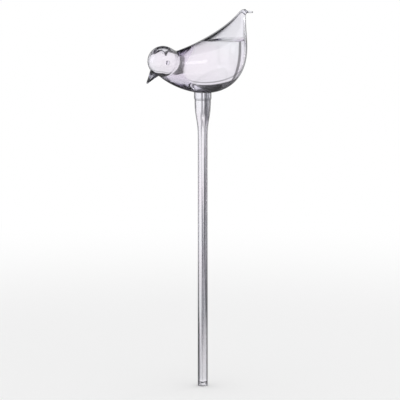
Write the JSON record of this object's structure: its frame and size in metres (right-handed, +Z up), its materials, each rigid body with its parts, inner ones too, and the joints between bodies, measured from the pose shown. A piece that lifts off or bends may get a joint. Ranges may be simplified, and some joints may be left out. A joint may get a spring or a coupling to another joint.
{
  "type": "watering globe",
  "caption": "Clear blown-glass bird holding a level of water, welded to a long hollow stem that is pushed into a plant pot and lets the water seep into the soil.",
  "frame": {"origin": "centre of the open lower end of the stem, on the stem's axis", "axes": "+Z up along the stem to the bird, -X towards the bird's beak, +Y across the bird, and the XZ plane halves it"},
  "size_m": [0.0843, 0.04, 0.2687],
  "materials": {
    "clear_glass": "polished",
    "water": "polished"
  },
  "bodies": {
    "root": {"bird_bulb": "clear_glass", "stem_tube": "clear_glass", "stem_collar": "clear_glass", "beak": "clear_glass", "left_eye": "clear_glass", "right_eye": "clear_glass", "tail_tip": "clear_glass", "water_fill": "water"}
  },
  "joints": []
}
